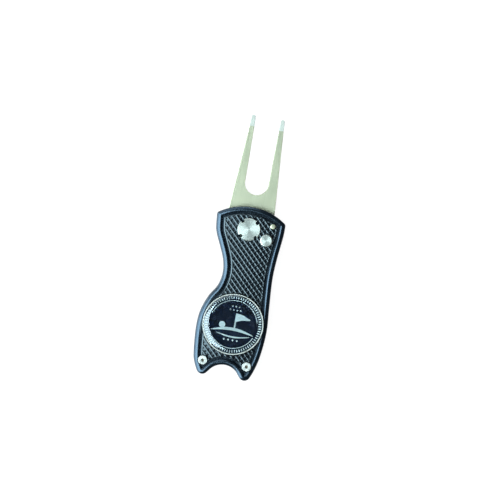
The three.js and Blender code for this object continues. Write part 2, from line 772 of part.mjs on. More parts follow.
for (const [side, spot] of Object.entries(SCREWS)) {
  place("screw_" + side, screw(spot), NICKEL);
  place("insert_" + side, threadedInsert(spot), BRASS);
}

const bounds = new THREE.Box3().setFromObject(tool);
const centre = bounds.getCenter(new THREE.Vector3());
tool.position.set(-centre.x, -centre.y, -bounds.min.z);

export default tool;
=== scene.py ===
"""The looks of a folding divot repair tool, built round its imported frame.

Lengths here are millimetres. A place is measured from the fork's pivot axis, and a height from the
back of the handle. Meshes are turned into metres, in the frame's own place, when they are made.
"""

import functools
import json
import math

import bmesh
import bpy
import numpy as np
from mathutils import Matrix, Vector
from mathutils.geometry import delaunay_2d_cdt


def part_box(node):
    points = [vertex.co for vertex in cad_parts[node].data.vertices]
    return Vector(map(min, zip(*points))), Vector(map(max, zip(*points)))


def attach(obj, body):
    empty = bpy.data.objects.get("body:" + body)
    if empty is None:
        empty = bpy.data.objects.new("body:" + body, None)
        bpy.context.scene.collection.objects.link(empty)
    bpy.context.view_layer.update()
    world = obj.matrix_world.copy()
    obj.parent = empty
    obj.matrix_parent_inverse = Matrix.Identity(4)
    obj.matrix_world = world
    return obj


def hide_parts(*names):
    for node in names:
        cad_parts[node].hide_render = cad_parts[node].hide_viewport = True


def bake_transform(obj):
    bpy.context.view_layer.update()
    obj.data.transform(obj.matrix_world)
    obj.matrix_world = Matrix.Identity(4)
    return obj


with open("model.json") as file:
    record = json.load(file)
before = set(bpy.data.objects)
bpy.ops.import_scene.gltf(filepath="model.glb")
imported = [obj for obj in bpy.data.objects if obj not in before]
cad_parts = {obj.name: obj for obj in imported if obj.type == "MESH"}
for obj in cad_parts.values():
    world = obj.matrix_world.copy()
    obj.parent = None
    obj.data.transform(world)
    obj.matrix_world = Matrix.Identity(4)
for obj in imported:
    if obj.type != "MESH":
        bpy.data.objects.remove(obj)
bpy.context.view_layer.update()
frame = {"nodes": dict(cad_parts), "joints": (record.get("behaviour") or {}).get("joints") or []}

MM = 0.001
FOLD = next(joint for joint in frame["joints"] if joint["name"] == "fork_fold")
ORIGIN = np.array([FOLD["pos_m"][0], FOLD["pos_m"][1], 0.0])


def span(node):
    """The lowest and the highest corner of a CAD node."""
    return [(np.array(corner) - ORIGIN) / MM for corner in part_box(node)]


def middle(node):
    """The centre of a CAD node, seen from the front."""
    low, high = span(node)
    return (low + high)[:2] / 2


def bottom_of(node):
    return span(node)[0][2]


def top_of(node):
    return span(node)[1][2]


def heights(node):
    return bottom_of(node), top_of(node)


# ---- driving dimensions

BACK_INNER = top_of("back_cover")
FRONT_INNER = bottom_of("front_cover")
FRONT_OUTER = top_of("front_cover")
COVER_THICKNESS = BACK_INNER
CLEARANCE = 0.15  # radial play of a piece that drops into a hole

# The handle's outline: a crowned top, a finger hollow on the left side, a waisted right side and a
# round notch between two horns at the bottom.
TOP_ARC = {"centre": (0.2, -14.8), "radius": 24, "right": 53.4, "left": 125.6}
NOTCH = {"centre": (0.1, -63.2), "radius": 7.2, "flank": 52, "flank_length": 5.6}
LEFT_SIDE = [
    (-13.2, -1), (-12.35, -4), (-10.95, -7), (-8.15, -13.5), (-7.2, -19), (-8.25, -24.5),
    (-11.25, -29.5), (-13.5, -36), (-14.05, -43), (-13.2, -53), (-12, -57.5),
]
RIGHT_SIDE = [
    (12, -57), (13.75, -50), (14.6, -40), (13.9, -30), (13.15, -18.5), (13.5, -10), (14.45, -0.5),
]
CORNER_RADII = [1.2, 2.4, 2.4, 1.5]  # top left, left horn, right horn, top right
LEAST_CORNER_RADIUS = 0.3
EDGE_SAMPLES = 400
EDGE_STEPS = [60, 150, 80, 110]  # sides along the top, left, foot and right
CORNER_STEPS = 10

# The front is crowned across its width, and each cover has a rounded rim round a pocket.
CROWN = {"x": 0.3, "radius": 75}
RIM = {
    "crest": 1.45, "radius": 2.0, "break": 0.1, "break_drop": 0.3,
    "fall": 1.7, "fall_drop": 0.05, "groove": 2.15, "groove_drop": 0.4,
}
SEAM = 0.12  # chamfer where a cover meets the spacer
FRONT_POCKET_DEPTH = 1.8
BACK_POCKET_DEPTH = 1.0

# The knurled panels: raised ridges cross at 45 degrees and leave square pits between them.
PANEL = {
    "inset": 3.02, "bevel": 3.4, "front_bevel_drop": 0.14, "back_bevel_drop": 0.22,
    "below_rim": 0.2, "end": -55.6,
}
KNURL = {
    "pitch": 1.645, "phase": (0.75, 0.8), "crest": 0.09, "wall": 0.33, "cross": 0.15,
    "depth": 0.22, "samples": 8, "fade": 0.15,
}

AXLE_RADIUS = 2.0
SPRING_BORE = 3.9
SPRING = {
    "coil": 3.1, "wire": 0.28, "pitch": 0.6, "turns": 2.5, "start": 6.75, "phase": 60,
    "foot": (5.1, 5.6, 6.1), "end": (0.35, 0.9), "slot_half": 0.5, "slot_bottom": 7.9,
}
CAP_NOTCH = {"width": 1.3, "depth": 1.05, "turn": 46}
BUTTON_CAP_RADIUS = 2.5
BUTTON_FLANGE = {"radius": 3.1, "bottom": 7.55, "top": 8.1}
STEM_RADIUS = 1.3
MARKER_SEAT = 9.0
MARKER_FLOOR = 10.6
MARKER_LIP = 0.4
TICKS = {"count": 70, "inner": 10.4, "outer": 11.45, "half": 0.17}
RING_LINE = {"inner": 9.6, "outer": 9.85, "arcs": [(13, 161, 90), (205, 335, 80)]}
SCREW = {"seat": 8.2, "shank": 1.0, "hex": 0.7, "socket": 0.9, "turns": {"left": 20, "right": 5}}
FORK = {
    "right_shoulder": 4.15, "left_shoulder": 5.9, "root": 9.95, "taper": 0.0695,
    "gap": 4.8, "gap_bottom": 14.3, "gap_spread": 0.3, "grind": 41.8,
    "tip": 46.4, "tip_centre": 6.02, "tip_radius": 0.82, "tip_thickness": 0.7, "tang": 6.2,
}
LATCH = {"thickness": 0.4, "half_width": 1.5, "head_low": -5.0, "pad_end": -10.5, "room_depth": 2.2}
LATCH_TOOTH = {"inner": 4.4, "outer": 6.1, "half": 0.8, "top": 5.0}


# ---- mesh helpers

def metres(points):
    return np.asarray(points, float) * MM + ORIGIN


def at(*point):
    """One point in metres, in the frame's own place."""
    return Vector(metres([point])[0])


def object_of(name, points, faces):
    mesh = bpy.data.meshes.new(name)
    mesh.from_pydata(metres(points).tolist(), [], faces)
    obj = bpy.data.objects.new(name, mesh)
    bpy.context.scene.collection.objects.link(obj)
    edit(obj, lambda bm: bmesh.ops.recalc_face_normals(bm, faces=bm.faces))
    return obj


def edit(obj, change):
    bm = bmesh.new()
    bm.from_mesh(obj.data)
    change(bm)
    bm.to_mesh(obj.data)
    bm.free()


def at_height(outline, height):
    """Points seen from the front, raised to a height or to one height each."""
    return np.column_stack([outline, np.broadcast_to(height, len(outline))])


def loft(name, rings):
    """A closed solid through rings that have the same number of points."""
    count = len(rings[0])
    faces = [
        (low + i, low + (i + 1) % count, low + count + (i + 1) % count, low + count + i)
        for low in range(0, (len(rings) - 1) * count, count)
        for i in range(count)
    ]
    last = (len(rings) - 1) * count
    faces.append(tuple(range(count)))
    faces.append(tuple(range(last, last + count)))
    return object_of(name, np.vstack(rings), faces)


def arc(centre, radius, start, end, steps):
    turn = np.radians(np.linspace(start, end, steps + 1))
    return np.column_stack([np.cos(turn), np.sin(turn)]) * radius + np.asarray(centre)


def circle(centre, radius, sides, turn=0):
    return arc(centre, radius, turn, turn + 360, sides)[:-1]


def turned(name, centre, profile, sides=96, turn=0):
    """A round piece from its half section, a list of (radius, height)."""
    return loft(name, [at_height(circle(centre, r, sides, turn), z) for r, z in profile])


def rod(centre, radius, bottom, top, sides=64, turn=0):
    return turned("tool", centre, [(radius, bottom), (radius, top)], sides, turn)


def prism(outline, bottom, top, name="tool"):
    return loft(name, [at_height(outline, bottom), at_height(outline, top)])


def block(low, high, bottom, top):
    return prism([low, (high[0], low[1]), high, (low[0], high[1])], bottom, top)


def polar(radius, angle):
    return radius * math.cos(math.radians(angle)), radius * math.sin(math.radians(angle))


def radial_bar(inner, outer, half, angle):
    """The outline of a bar that runs outwards between two radii, at an angle in degrees."""
    out = np.array(polar(1, angle))
    side = np.array([-out[1], out[0]]) * half
    return [out * inner - side, out * outer - side, out * outer + side, out * inner + side]


def radial_block(inner, outer, half, angle, bottom, top):
    return prism(radial_bar(inner, outer, half, angle), bottom, top)


def apply_modifiers(obj):
    graph = bpy.context.evaluated_depsgraph_get()
    made = bpy.data.meshes.new_from_object(obj.evaluated_get(graph))
    obj.modifiers.clear()
    obj.data = made


def join_or_cut(obj, tools, operation):
    for tool in tools:
        modifier = obj.modifiers.new(tool.name, "BOOLEAN")
        modifier.object = tool
        modifier.operation = operation
        modifier.solver = "EXACT"
    apply_modifiers(obj)
    for tool in tools:
        bpy.data.objects.remove(tool)
    return obj


def cut(obj, *tools):
    return join_or_cut(obj, tools, "DIFFERENCE")


def finish_piece(obj, body, slot, materials, replaces=(), sharp=32):
    """Gives a piece its materials and shading, puts it on its body and hides the CAD nodes that it stands
    for. The slot is not used.
    """
    for index, material in enumerate(materials):
        if index < len(obj.data.materials):
            obj.data.materials[index] = material
        else:
            obj.data.materials.append(material)
    obj.data.shade_smooth()
    obj.data.set_sharp_from_angle(angle=math.radians(sharp))
    if body:
        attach(obj, body)
    if replaces:
        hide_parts(*replaces)
    return obj


# ---- the handle's outline

def spline(points, steps=30):
    """A uniform Catmull-Rom curve through the points."""
    p = np.array(points, float)
    t = np.linspace(0, 1, steps, endpoint=False)[:, None]
    pieces = []
    for i in range(len(p) - 1):
        start = (p[i + 1] - p[max(i - 1, 0)]) / 2
        end = (p[min(i + 2, len(p) - 1)] - p[i]) / 2
        cubic = 2 * p[i] - 2 * p[i + 1] + start + end
        square = 3 * p[i + 1] - 3 * p[i] - 2 * start - end
        pieces.append(((cubic * t + square) * t + start) * t + p[i])
    return np.vstack([*pieces, p[-1:]])


def along(points, place):
    """Points part of the way along a polyline, their places counted in samples."""
    index = np.arange(len(points))
    return np.column_stack([np.interp(place, index, points[:, axis]) for axis in (0, 1)])


def even(points, count):
    steps = np.linalg.norm(np.diff(points, axis=0), axis=1)
    length = np.concatenate([[0], np.cumsum(steps)])
    place = np.interp(np.linspace(0, length[-1], count + 1), length, np.arange(len(points)))
    return along(points, place)


def handle_edges():
    """The top, left, foot and right edges, each as points and inward directions."""
    top = arc(TOP_ARC["centre"], TOP_ARC["radius"], TOP_ARC["right"], TOP_ARC["left"], 200)
    flank = NOTCH["flank"]
    notch = arc(NOTCH["centre"], NOTCH["radius"], 90 + flank, 90 - flank, 200)
    reach = np.array(polar(NOTCH["flank_length"], flank))
    left_horn = notch[0] - reach
    right_horn = notch[-1] + reach * (1, -1)
    curves = [
        top,
        spline([top[-1], *LEFT_SIDE, left_horn]),
        np.vstack([[left_horn], notch, [right_horn]]),
        spline([right_horn, *RIGHT_SIDE, top[0]]),
    ]
    edges = []
    for curve in curves:
        points = even(curve, EDGE_SAMPLES)
        forward = np.gradient(points, axis=0)
        forward /= np.linalg.norm(forward, axis=1)[:, None]
        edges.append((points, np.column_stack([-forward[:, 1], forward[:, 0]])))
    return edges


EDGES = handle_edges()


def crossing(first, second):
    """Where two polylines last cross: how far along each, counted in samples, and the point."""
    p, u = first[:-1], np.diff(first, axis=0)
    q, v = second[:-1], np.diff(second, axis=0)
    gap = q[None] - p[:, None]
    area = u[:, None, 0] * v[None, :, 1] - u[:, None, 1] * v[None, :, 0]
    area[np.abs(area) < 1e-12] = np.nan
    s = (gap[..., 0] * v[None, :, 1] - gap[..., 1] * v[None, :, 0]) / area
    t = (gap[..., 0] * u[:, None, 1] - gap[..., 1] * u[:, None, 0]) / area
    i, j = np.argwhere((s >= 0) & (s <= 1) & (t >= 0) & (t <= 1))[-1]
    return i + s[i, j], j + t[i, j], p[i] + u[i] * s[i, j]


@functools.lru_cache(maxsize=None)
def outline(inset):
    """The handle's outline moved inwards, with rounded corners. It always has the same number of points."""
    offset = [points + inward * inset for points, inward in EDGES]
    fillets = []
    for i, radius in enumerate(CORNER_RADII):
        radius = max(radius - inset, LEAST_CORNER_RADIUS)
        pair = [EDGES[i], EDGES[(i + 1) % 4]]
        moved = [points + inward * (inset + radius) for points, inward in pair]
        fillets.append((*crossing(*moved), radius))
    pieces = []
    for i, steps in enumerate(EDGE_STEPS):
        start = fillets[i - 1][1]
        end, after, centre, radius = fillets[i]
        edge = along(offset[i], np.linspace(start, end, steps + 1))
        opposite = along(offset[(i + 1) % 4], [after])[0]
        first = math.degrees(math.atan2(*(edge[-1] - centre)[::-1]))
        last = math.degrees(math.atan2(*(opposite - centre)[::-1]))
        corner = arc(centre, radius, first, first + (last - first) % 360, CORNER_STEPS)
        pieces += [edge, corner[1:-1]]
    return np.vstack(pieces)


def crown_drop(x):
    return CROWN["radius"] - np.sqrt(CROWN["radius"] ** 2 - (x - CROWN["x"]) ** 2)


def inset_of(points):
    """How far points are inside the outline."""
    loop = outline(0)
    start, end = loop, np.roll(loop, -1, axis=0)
    side = end - start
    best = np.full(len(points), np.inf)
    for a, s in zip(start, side):
        share = np.clip((points - a) @ s / (s @ s), 0, 1)
        best = np.minimum(best, np.linalg.norm(points - a - share[:, None] * s, axis=1))
    return best


def inside(points, loop):
    """True for points inside a closed polygon."""
    crossings = np.zeros(len(points), int)
    for (x0, y0), (x1, y1) in zip(loop, np.roll(loop, -1, axis=0)):
        spans = (y0 > points[:, 1]) != (y1 > points[:, 1])
        with np.errstate(divide="ignore", invalid="ignore"):
            x = x0 + (points[:, 1] - y0) * (x1 - x0) / (y1 - y0)
        crossings += spans & (points[:, 0] < x)
    return crossings % 2 == 1


# ---- places on the handle

CAP = middle("pivot_cap")
BUTTON = middle("release_button")
PIN = middle("stop_pin")
MARKER = middle("marker_coin")
SCREWS = {"left": middle("screw_left"), "right": middle("screw_right")}


def radius_of(node):
    low, high = span(node)
    return (high - low)[0] / 2


CAP_RADIUS = radius_of("pivot_cap")
NUT_RADIUS = radius_of("pivot_nut")
PIN_RADIUS = radius_of("stop_pin")
MARKER_RADIUS = radius_of("marker_coin")
MAGNET_RADIUS = radius_of("magnet")
SCREW_RADIUS = radius_of("screw_left")
INSERT_RADIUS = radius_of("insert_left")
SEAT_RADIUS = MARKER_RADIUS + 2 * CLEARANCE
HEAD_HOLE = SCREW_RADIUS + 2 * CLEARANCE
SPRING_END = SPRING["phase"] + 360 * SPRING["turns"]
LATCH_ANGLE = math.degrees(math.atan2(BUTTON[1], BUTTON[0]))


# ---- the covers and the spacer

def rim_levels(thickness, pocket_depth):
    """A cover's section from its inner face, over the rim, to the pocket's floor.

    Each level is (inset, height above the inner face, share of the crown's drop).
    """
    crest, radius, wear = RIM["crest"], RIM["radius"], RIM["break"]
    steepest = math.asin((crest - wear) / radius)
    start = thickness - radius * (1 - math.cos(steepest))
    levels = [(SEAM, 0, 0), (0, SEAM, 0), (0, start - 1, 0.6), (0, start - RIM["break_drop"], 1)]
    for share in np.linspace(1, 0, 13):
        turn = share * steepest
        inset = crest - radius * math.sin(turn)
        levels.append((inset, thickness - radius * (1 - math.cos(turn)), 1))
    groove, deep = RIM["groove"], thickness - RIM["groove_drop"]
    levels += [
        (RIM["fall"], thickness - RIM["fall_drop"], 1),
        (groove, deep, 1),
        (groove + 0.05, deep - 0.1, 1),
        (groove + 0.05, thickness - pocket_depth, 0),
    ]
    return levels


def cover(name, pocket_depth, crown, height_from):
    rings = []
    for inset, height, share in rim_levels(COVER_THICKNESS, pocket_depth):
        loop = outline(round(inset, 4))
        rings.append(at_height(loop, height_from(height - crown * share * crown_drop(loop[:, 0]))))
    return loft(name, rings)


def front_cover():
    obj = cover("front_cover_shell", FRONT_POCKET_DEPTH, 1, lambda height: FRONT_INNER + height)
    under, over = FRONT_INNER - 1, FRONT_OUTER + 1
    heads = [rod(spot, HEAD_HOLE, SCREW["seat"], over) for spot in SCREWS.values()]
    shanks = [rod(spot, SCREW["shank"] + CLEARANCE, under, over, 32) for spot in SCREWS.values()]
    half, floor = SPRING["slot_half"], SPRING["slot_bottom"]
    slot = radial_block(SPRING["coil"], SPRING_BORE + 1, half, SPRING_END, floor, over)
    return cut(
        obj,
        rod(CAP, SPRING_BORE, under, over),
        slot,
        rod(BUTTON, BUTTON_CAP_RADIUS + CLEARANCE, under, over),
        rod(BUTTON, BUTTON_FLANGE["radius"] + CLEARANCE, under, BUTTON_FLANGE["top"] + 0.1),
        rod(PIN, PIN_RADIUS + CLEARANCE, under, over, 48),
        rod(MARKER, SEAT_RADIUS, MARKER_SEAT, over, 160),
        rod(MARKER, MAGNET_RADIUS + CLEARANCE, bottom_of("magnet"), over),
        *heads,
        *shanks,
    )


def back_cover():
    obj = cover("back_cover_shell", BACK_POCKET_DEPTH, 0, lambda height: BACK_INNER - height)
    under, over = -1, BACK_INNER + 1
    low, high = span("latch_spring")
    rivet = middle("latch_rivet")
    room = 2 * CLEARANCE
    arm = LATCH["half_width"] + room
    pad_end, depth = LATCH["pad_end"], LATCH["room_depth"]
    pad = BACK_INNER - 0.2 - LATCH["thickness"]
    insert_floor = bottom_of("insert_left")
    return cut(
        obj,
        rod(CAP, AXLE_RADIUS + 0.1, under, over, 48),
        rod(CAP, NUT_RADIUS + CLEARANCE, under, top_of("pivot_nut")),
        rod(PIN, PIN_RADIUS + CLEARANCE, bottom_of("stop_pin"), over, 48),
        block((rivet[0] - arm, pad_end), (rivet[0] + arm, BUTTON[1] - 1), depth, over),
        block((rivet[0] - arm, low[1] - room), (rivet[0] + arm, pad_end + 0.01), pad, over),
        block((low[0] - room, BUTTON[1] - 2), (high[0] + room, high[1] + room), depth, over),
        *[rod(spot, INSERT_RADIUS + 0.1, insert_floor, over, 48) for spot in SCREWS.values()],
    )


def spacer():
    inset, bottom, top = 0.2, BACK_INNER, FRONT_INNER
    levels = [(inset + SEAM, bottom), (inset, bottom + SEAM), (inset, top - SEAM), (inset + SEAM, top)]
    obj = loft("spine_spacer_layer", [at_height(outline(i), z) for i, z in levels])
    # Room for the tang and the stem, open to the left side where the fork swings in.
    swing = FORK["tip"] + 0.9
    inner = arc((0, 0), swing, -75.6, -107, 40)
    space = [
        (-20, 20), (10.25, 20), (10.25, 3.3), (8.0, 3.3), (8.0, 1.0), (9.7, -0.9), (9.7, -3.4),
        (10.6, -4.4), (10.9, -6.2), (inner[0][0], -42), *inner, (-20, inner[-1][1]),
    ]
    return cut(
        obj,
        prism(space, bottom - 1, top + 1),
        rod(PIN, PIN_RADIUS + CLEARANCE, bottom - 1, top + 1, 48),
        *[rod(spot, SCREW["shank"] + CLEARANCE, bottom - 1, top + 1, 32) for spot in SCREWS.values()],
    )


# ---- the knurled panels

def pit(points):
    """How deep the knurl is at each point: 0 on the main ridges, less on the lower cross ridges."""
    pitch, crest, wall = KNURL["pitch"], KNURL["crest"], KNURL["wall"]
    across = np.array([[1, 1], [1, -1]]) / math.sqrt(2)
    share = []
    for direction, phase in zip(across, KNURL["phase"]):
        turns = (points @ direction - phase) / pitch
        distance = np.abs(turns - np.round(turns)) * pitch
        share.append(np.clip((distance - crest) / wall, 0, 1))
    low_ridge = KNURL["cross"]
    return KNURL["depth"] * np.minimum(share[0], low_ridge + (1 - low_ridge) * share[1])


def knurl_grid():
    """Points on the ridges and evenly between them, over the whole handle."""
    step = KNURL["pitch"] / KNURL["samples"]
    low, high = outline(0).min(0), outline(0).max(0)
    reach = np.ptp([low, high], axis=0).sum()
    count = int(reach / step)
    first = KNURL["phase"][0] + np.arange(-count, count) * step
    second = KNURL["phase"][1] + np.arange(-count, count) * step
    u, v = np.meshgrid(first, second)
    points = np.column_stack([(u + v).ravel(), (u - v).ravel()]) / math.sqrt(2)
    return points[(points >= low).all(1) & (points <= high).all(1)]


def smooth(share):
    share = np.clip(share, 0, 1)
    return share * share * (3 - 2 * share)


def grip_panel(name, face, floor, crown, bevel_drop, holes, well=None, end=None):
    """A knurled panel as a height field over its pocket's floor.

    holes are (centre, radius) of round holes through it. well is (centre, radius, height) of a
    sunk round seat. A panel with an end stops there above the foot.
    """
    outward = 1 if face > floor else -1
    rim, bevel = outline(PANEL["inset"]), outline(PANEL["bevel"])
    loops = [rim, bevel, *[circle(centre, radius, 72) for centre, radius in holes]]
    if well:
        loops += [circle(well[0], well[1], 160), circle(well[0], well[1] - 0.02, 160)]
    if end:
        loops.append(np.array([(x, end) for x in np.linspace(-15, 15, 61)]))
    grid = knurl_grid()
    margin = KNURL["pitch"] / KNURL["samples"] * 0.45
    keep = inside(grid, bevel) & (inset_of(grid) > PANEL["bevel"] + margin)
    for centre, radius in holes:
        keep &= np.linalg.norm(grid - centre, axis=1) > radius + margin
    if well:
        keep &= np.linalg.norm(grid - well[0], axis=1) > well[1] + margin
    if end:
        keep &= grid[:, 1] > end + margin
    points, edges = [], []
    for loop in loops:
        start, count = len(points), len(loop)
        points += [Vector(point) for point in loop]
        closed = end is None or loop is not loops[-1]
        edges += [(start + i, start + (i + 1) % count) for i in range(count if closed else count - 1)]
    points += [Vector(point) for point in grid[keep]]
    made = delaunay_2d_cdt(points, edges, [], 0, 1e-5, False)
    flat = np.array([tuple(point) for point in made[0]])
    faces = np.array(made[2])
    centres = flat[faces].mean(1)
    good = inside(centres, rim)
    for centre, radius in holes:
        good &= np.linalg.norm(centres - centre, axis=1) > radius * 0.9995
    if end:
        good &= centres[:, 1] > end
    faces = faces[good]

    inset = inset_of(flat)
    sunk = bevel_drop * np.clip((PANEL["bevel"] - inset) / (PANEL["bevel"] - PANEL["inset"]), 0, 1)
    sunk += pit(flat) * smooth((inset - PANEL["bevel"] - 0.05) / KNURL["fade"])
    height = face - outward * (sunk + crown * crown_drop(flat[:, 0]))
    if well:
        height[np.linalg.norm(flat - well[0], axis=1) < well[1] - 0.01] = well[2]
    obj = object_of(name, at_height(flat, height), faces.tolist())
    edit(obj, lambda bm: close_below(bm, floor))
    return obj


def close_below(bm, floor):
    """Drops walls from an open sheet's edges to a flat floor, and closes it."""
    loose = [vert for vert in bm.verts if not vert.link_faces]
    bmesh.ops.delete(bm, geom=loose, context="VERTS")
    rim = [edge for edge in bm.edges if edge.is_boundary]
    made = bmesh.ops.extrude_edge_only(bm, edges=rim)["geom"]
    for vert in (item for item in made if isinstance(item, bmesh.types.BMVert)):
        vert.co.z = floor * MM
    low = [item for item in made if isinstance(item, bmesh.types.BMEdge) and item.is_boundary]
    bmesh.ops.triangle_fill(bm, use_beauty=True, use_dissolve=False, edges=low)
    bmesh.ops.recalc_face_normals(bm, faces=bm.faces)


def front_panel():
    holes = [
        (CAP, CAP_RADIUS + CLEARANCE),
        (BUTTON, BUTTON_CAP_RADIUS + CLEARANCE),
        (PIN, PIN_RADIUS + CLEARANCE),
        (MARKER, MAGNET_RADIUS + CLEARANCE),
        *[(spot, HEAD_HOLE) for spot in SCREWS.values()],
    ]
    face = FRONT_OUTER - PANEL["below_rim"]
    floor = FRONT_OUTER - FRONT_POCKET_DEPTH
    well = (MARKER, SEAT_RADIUS, MARKER_SEAT)
    drop = PANEL["front_bevel_drop"]
    return grip_panel("front_grip_knurl", face, floor, 1, drop, holes, well, PANEL["end"])


def back_panel():
    holes = [(CAP, NUT_RADIUS + CLEARANCE)]
    face, drop = PANEL["below_rim"], PANEL["back_bevel_drop"]
    return grip_panel("back_grip_knurl", face, BACK_POCKET_DEPTH, 0, drop, holes)


# ---- the fork

def fork_outline():
    """Seen from the front, anticlockwise from the right shoulder."""
    def edge(y):
        return FORK["root"] - FORK["taper"] * y

    tang, gap, grind = FORK["tang"], FORK["gap"], FORK["grind"]
    gap_arc = FORK["gap_bottom"] + gap
    gap_top = gap + FORK["gap_spread"]
    tip = (FORK["tip_centre"], FORK["tip"] - FORK["tip_radius"])
    prong = np.vstack([
        [(edge(FORK["right_shoulder"]), FORK["right_shoulder"]), (edge(grind), grind)],
        arc(tip, FORK["tip_radius"], 0, 180, 24),
        [(gap_top, grind)],
    ])
    mirrored = prong[::-1] * (-1, 1)
    mirrored[-1] = (-edge(FORK["left_shoulder"]), FORK["left_shoulder"])
    start = math.degrees(math.asin(FORK["right_shoulder"] / tang))
    return np.vstack([
        prong,
        arc((0, gap_arc), gap, 0, -180, 48),
        mirrored,
        [(-6.1, FORK["left_shoulder"])],
        arc((0, 0), tang, 140, 360 + start, 90),
    ])


def shrink(loop, inset):
    """A loop moved inwards by its corner normals. The loop runs anticlockwise."""
    before, after = np.roll(loop, 1, axis=0), np.roll(loop, -1, axis=0)
    first, second = loop - before, after - loop
    first /= np.linalg.norm(first, axis=1)[:, None]
    second /= np.linalg.norm(second, axis=1)[:, None]
    normal = np.column_stack([-(first + second)[:, 1], (first + second)[:, 0]])
    normal /= np.linalg.norm(normal, axis=1)[:, None]
    reach = np.clip((normal * np.column_stack([-first[:, 1], first[:, 0]])).sum(1), 0.5, 1)
    return loop + normal * (inset / reach)[:, None]


def fork():
    bottom, top = heights("fork_blade")
    chamfer = 0.1
    loop = fork_outline()
    rings = [
        at_height(shrink(loop, chamfer), bottom),
        at_height(loop, bottom + chamfer),
        at_height(loop, top - chamfer),
        at_height(shrink(loop, chamfer), top),
    ]
    obj = loft("fork_blade_ground", rings)
    notch = [LATCH_TOOTH["inner"] - 0.2, FORK["tang"] + 2, LATCH_TOOTH["half"] + 0.2]
    cut(
        obj,
        rod((0, 0), AXLE_RADIUS + 0.1, bottom - 1, top + 1, 48),
        rod(polar(SPRING["coil"], SPRING["phase"]), 0.6, bottom - 1, top + 1, 24),
        radial_block(*notch, LATCH_ANGLE, bottom - 1, top + 1),
        radial_block(*notch, LATCH_ANGLE - FOLD["range_deg"][1], bottom - 1, top + 1),
    )
    edit(obj, lambda bm: grind_tips(bm, (bottom + top) / 2, (top - bottom)))
    mark_ground_tips(obj)
    return obj


def split_at(bm, y, tolerance):
    """Adds edges across a piece, and returns a point on the cut."""
    point = at(0, y, 0)
    geometry = [*bm.verts, *bm.edges, *bm.faces]
    bmesh.ops.bisect_plane(bm, geom=geometry, dist=tolerance, plane_co=point, plane_no=(0, 1, 0))
    return point


def grind_tips(bm, centre, thickness):
    """Slopes both faces towards the tips, from a crisp line across the prongs."""
    start = split_at(bm, FORK["grind"], 1e-7)
    loss = 1 - FORK["tip_thickness"] / thickness
    for vert in bm.verts:
        past = (vert.co.y - start[1]) / MM / (FORK["tip"] - FORK["grind"])
        if past > 0:
            vert.co.z = centre * MM + (vert.co.z - centre * MM) * (1 - loss * min(past, 1.05))


def mark_ground_tips(obj):
    """Gives the faces past the grinding line the second material."""
    start = at(0, FORK["grind"] + 0.01, 0)
    for face in obj.data.polygons:
        face.material_index = int(face.center.y > start.y)


# ---- the pivot

def pivot_cap():
    bottom, top = heights("pivot_cap")
    r = CAP_RADIUS
    obj = turned(
        "pivot_cap_disc", CAP,
        [(r - 0.1, bottom), (r, bottom + 0.1), (r, top - 0.22), (r - 0.06, top - 0.1), (r - 0.2, top)],
        144,
    )
    inner, half = r - CAP_NOTCH["depth"], CAP_NOTCH["width"] / 2
    turns = [CAP_NOTCH["turn"] + quarter for quarter in (0, 90, 180, 270)]
    return cut(obj, *[radial_block(inner, r + 1, half, turn, 0, top + 1) for turn in turns])


def pivot_nut():
    bottom, top = heights("pivot_nut")
    r = NUT_RADIUS
    obj = turned("pivot_nut_disc", CAP, [(r - 0.2, bottom), (r, bottom + 0.2), (r, top)], 120)
    return cut(obj, block((-10, -0.5), (10, 0.5), bottom - 1, bottom + 0.5))


def spring_coil():
    """The whole wire: a foot in the tang, the coil, and an end in the cover."""
    steps = int(SPRING["turns"] * 36)
    share = np.linspace(0, 1, steps + 1)
    turn = np.radians(SPRING["phase"] + 360 * SPRING["turns"] * share)
    coil = np.column_stack([
        SPRING["coil"] * np.cos(turn),
        SPRING["coil"] * np.sin(turn),
        SPRING["start"] + SPRING["pitch"] * SPRING["turns"] * share,
    ])
    foot = polar(SPRING["coil"], SPRING["phase"])
    foot_points = [(*foot, height) for height in SPRING["foot"]]
    out = coil[-1] * (1, 1, 0) / SPRING["coil"]
    end_points = [coil[-1] + out * reach for reach in SPRING["end"]]
    return wire("torsion_coil", [*foot_points, *coil[1:-1], *end_points], SPRING["wire"])


def wire(name, points, radius):
    curve = bpy.data.curves.new(name + "_path", "CURVE")
    curve.dimensions = "3D"
    curve.bevel_depth = radius * MM
    curve.bevel_resolution = 3
    curve.use_fill_caps = True
    path = curve.splines.new("POLY")
    path.points.add(len(points) - 1)
    for point, place in zip(path.points, metres(points)):
        point.co = (*place, 1)
    drawn = bpy.data.objects.new(name + "_path", curve)
    bpy.context.scene.collection.objects.link(drawn)
    graph = bpy.context.evaluated_depsgraph_get()
    mesh = bpy.data.meshes.new_from_object(drawn.evaluated_get(graph))
    obj = bpy.data.objects.new(name, mesh)
    bpy.context.scene.collection.objects.link(obj)
    bpy.data.objects.remove(drawn)
    return obj


def stop_pin():
    bottom, top = heights("stop_pin")
    r = PIN_RADIUS
    profile = [(r, bottom), (r, top - 0.12), (r - 0.12, top - 0.02), (r - 0.3, top)]
    return turned("stop_pin_rod", PIN, profile, 48)


# ---- the button and the latch

def release_button():
    bottom, top = heights("release_button")
    r, flange = BUTTON_CAP_RADIUS, BUTTON_FLANGE
    return turned(
        "release_button_turned", BUTTON,
        [
            (STEM_RADIUS, bottom), (STEM_RADIUS, flange["bottom"]),
            (flange["radius"], flange["bottom"]), (flange["radius"], flange["top"]),
            (r, flange["top"]), (r, top - 0.3), (r - 0.06, top - 0.15), (r - 0.2, top - 0.03),
            (r - 0.35, top), (r - 0.45, top),
        ],
    )


